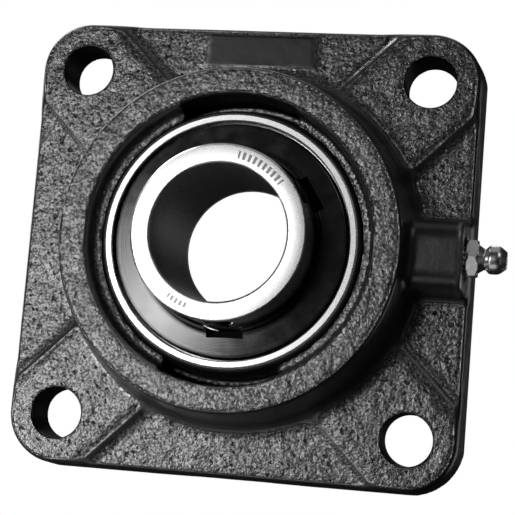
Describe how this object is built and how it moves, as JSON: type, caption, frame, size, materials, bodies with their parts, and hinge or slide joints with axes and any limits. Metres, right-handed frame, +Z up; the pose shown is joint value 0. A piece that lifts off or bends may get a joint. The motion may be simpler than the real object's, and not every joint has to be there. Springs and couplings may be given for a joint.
{
  "type": "flange mount bearing",
  "caption": "Square four-bolt flange bearing unit: rough painted cast housing, self-aligning ball bearing insert with set screws, side grease nipple.",
  "frame": {"origin": "where the bore axis meets the flat mounting face", "axes": "+Y along the bore axis into the machine frame, so the unit faces -Y; +Z up; +X towards the grease nipple"},
  "size_m": [0.1158, 0.0402, 0.108],
  "materials": {
    "painted_cast_iron": "dark grey paint over rough sand-cast skin",
    "ground_steel": "ground bearing steel",
    "ball_steel": "polished bearing steel",
    "pressed_steel": "pressed sheet steel",
    "seal_rubber": "moulded nitrile rubber",
    "flinger_steel": "pressed sheet steel, satin",
    "black_steel": "black oxide",
    "zinc_plated_steel": "zinc plated",
    "spring_steel": "drawn wire"
  },
  "bodies": {
    "housing": {"housing": "painted_cast_iron", "grease_nipple_body": "zinc_plated_steel", "nipple_spring": "spring_steel"},
    "nipple_ball": {"nipple_check_ball": "ball_steel"},
    "outer_ring_unit": {"outer_ring": "ground_steel", "seal_front": "seal_rubber", "seal_rear": "seal_rubber"},
    "inner_unit": {"inner_ring": "ground_steel", "flinger_front": "flinger_steel", "flinger_rear": "flinger_steel"},
    "cage_unit": {"cage_front": "pressed_steel", "cage_rear": "pressed_steel", "cage_rivet_1": "pressed_steel", "cage_rivet_2": "pressed_steel", "cage_rivet_3": "pressed_steel", "cage_rivet_4": "pressed_steel", "cage_rivet_5": "pressed_steel", "cage_rivet_6": "pressed_steel", "cage_rivet_7": "pressed_steel", "cage_rivet_8": "pressed_steel", "cage_rivet_9": "pressed_steel"},
    "set_screw_1": {"set_screw_1": "black_steel"},
    "set_screw_2": {"set_screw_2": "black_steel"},
    "rolling_ball_1": {"ball_1": "ball_steel"},
    "rolling_ball_2": {"ball_2": "ball_steel"},
    "rolling_ball_3": {"ball_3": "ball_steel"},
    "rolling_ball_4": {"ball_4": "ball_steel"},
    "rolling_ball_5": {"ball_5": "ball_steel"},
    "rolling_ball_6": {"ball_6": "ball_steel"},
    "rolling_ball_7": {"ball_7": "ball_steel"},
    "rolling_ball_8": {"ball_8": "ball_steel"},
    "rolling_ball_9": {"ball_9": "ball_steel"}
  },
  "joints": [
    {"name": "self_align", "type": "hinge", "parent": "housing", "child": "outer_ring_unit", "pos_m": [0, -0.018, 0], "axis": [0, 0, 1], "range_deg": [-2, 2]},
    {"name": "shaft_spin", "type": "hinge", "parent": "outer_ring_unit", "child": "inner_unit", "pos_m": [0, -0.018, 0], "axis": [0, -1, 0], "continuous": true},
    {"name": "cage_spin", "type": "hinge", "parent": "outer_ring_unit", "child": "cage_unit", "pos_m": [0, -0.018, 0], "axis": [0, -1, 0], "continuous": true},
    {"name": "ball_spin_1", "type": "hinge", "parent": "cage_unit", "child": "rolling_ball_1", "pos_m": [0.023, -0.018, 0], "axis": [0, -1, 0], "continuous": true},
    {"name": "ball_spin_2", "type": "hinge", "parent": "cage_unit", "child": "rolling_ball_2", "pos_m": [0.01762, -0.018, 0.01478], "axis": [0, -1, 0], "continuous": true},
    {"name": "ball_spin_3", "type": "hinge", "parent": "cage_unit", "child": "rolling_ball_3", "pos_m": [0.00399, -0.018, 0.02265], "axis": [0, -1, 0], "continuous": true},
    {"name": "ball_spin_4", "type": "hinge", "parent": "cage_unit", "child": "rolling_ball_4", "pos_m": [-0.0115, -0.018, 0.01992], "axis": [0, -1, 0], "continuous": true},
    {"name": "ball_spin_5", "type": "hinge", "parent": "cage_unit", "child": "rolling_ball_5", "pos_m": [-0.02161, -0.018, 0.00787], "axis": [0, -1, 0], "continuous": true},
    {"name": "ball_spin_6", "type": "hinge", "parent": "cage_unit", "child": "rolling_ball_6", "pos_m": [-0.02161, -0.018, -0.00787], "axis": [0, -1, 0], "continuous": true},
    {"name": "ball_spin_7", "type": "hinge", "parent": "cage_unit", "child": "rolling_ball_7", "pos_m": [-0.0115, -0.018, -0.01992], "axis": [0, -1, 0], "continuous": true},
    {"name": "ball_spin_8", "type": "hinge", "parent": "cage_unit", "child": "rolling_ball_8", "pos_m": [0.00399, -0.018, -0.02265], "axis": [0, -1, 0], "continuous": true},
    {"name": "ball_spin_9", "type": "hinge", "parent": "cage_unit", "child": "rolling_ball_9", "pos_m": [0.01762, -0.018, -0.01478], "axis": [0, -1, 0], "continuous": true},
    {"name": "set_screw_1_travel", "type": "slide", "parent": "inner_unit", "child": "set_screw_1", "axis": [0.0349, 0, -0.9994], "range_m": [-0.0004, 0.0025]},
    {"name": "set_screw_2_travel", "type": "slide", "parent": "inner_unit", "child": "set_screw_2", "axis": [0.848, 0, 0.5299], "range_m": [-0.0004, 0.0025]},
    {"name": "nipple_valve", "type": "slide", "parent": "housing", "child": "nipple_ball", "axis": [-1, 0, 0], "range_m": [0, 0.0008], "stiffness_N_per_m": 400, "springref_m": -0.002, "deforming": ["nipple_spring"]}
  ],
  "couplings": [
    {"joint": "cage_spin", "follows": "shaft_spin", "ratio": 0.39647},
    {"joint": "ball_spin_1", "follows": "shaft_spin", "ratio": -2.3112},
    {"joint": "ball_spin_2", "follows": "shaft_spin", "ratio": -2.3112},
    {"joint": "ball_spin_3", "follows": "shaft_spin", "ratio": -2.3112},
    {"joint": "ball_spin_4", "follows": "shaft_spin", "ratio": -2.3112},
    {"joint": "ball_spin_5", "follows": "shaft_spin", "ratio": -2.3112},
    {"joint": "ball_spin_6", "follows": "shaft_spin", "ratio": -2.3112},
    {"joint": "ball_spin_7", "follows": "shaft_spin", "ratio": -2.3112},
    {"joint": "ball_spin_8", "follows": "shaft_spin", "ratio": -2.3112},
    {"joint": "ball_spin_9", "follows": "shaft_spin", "ratio": -2.3112}
  ]
}
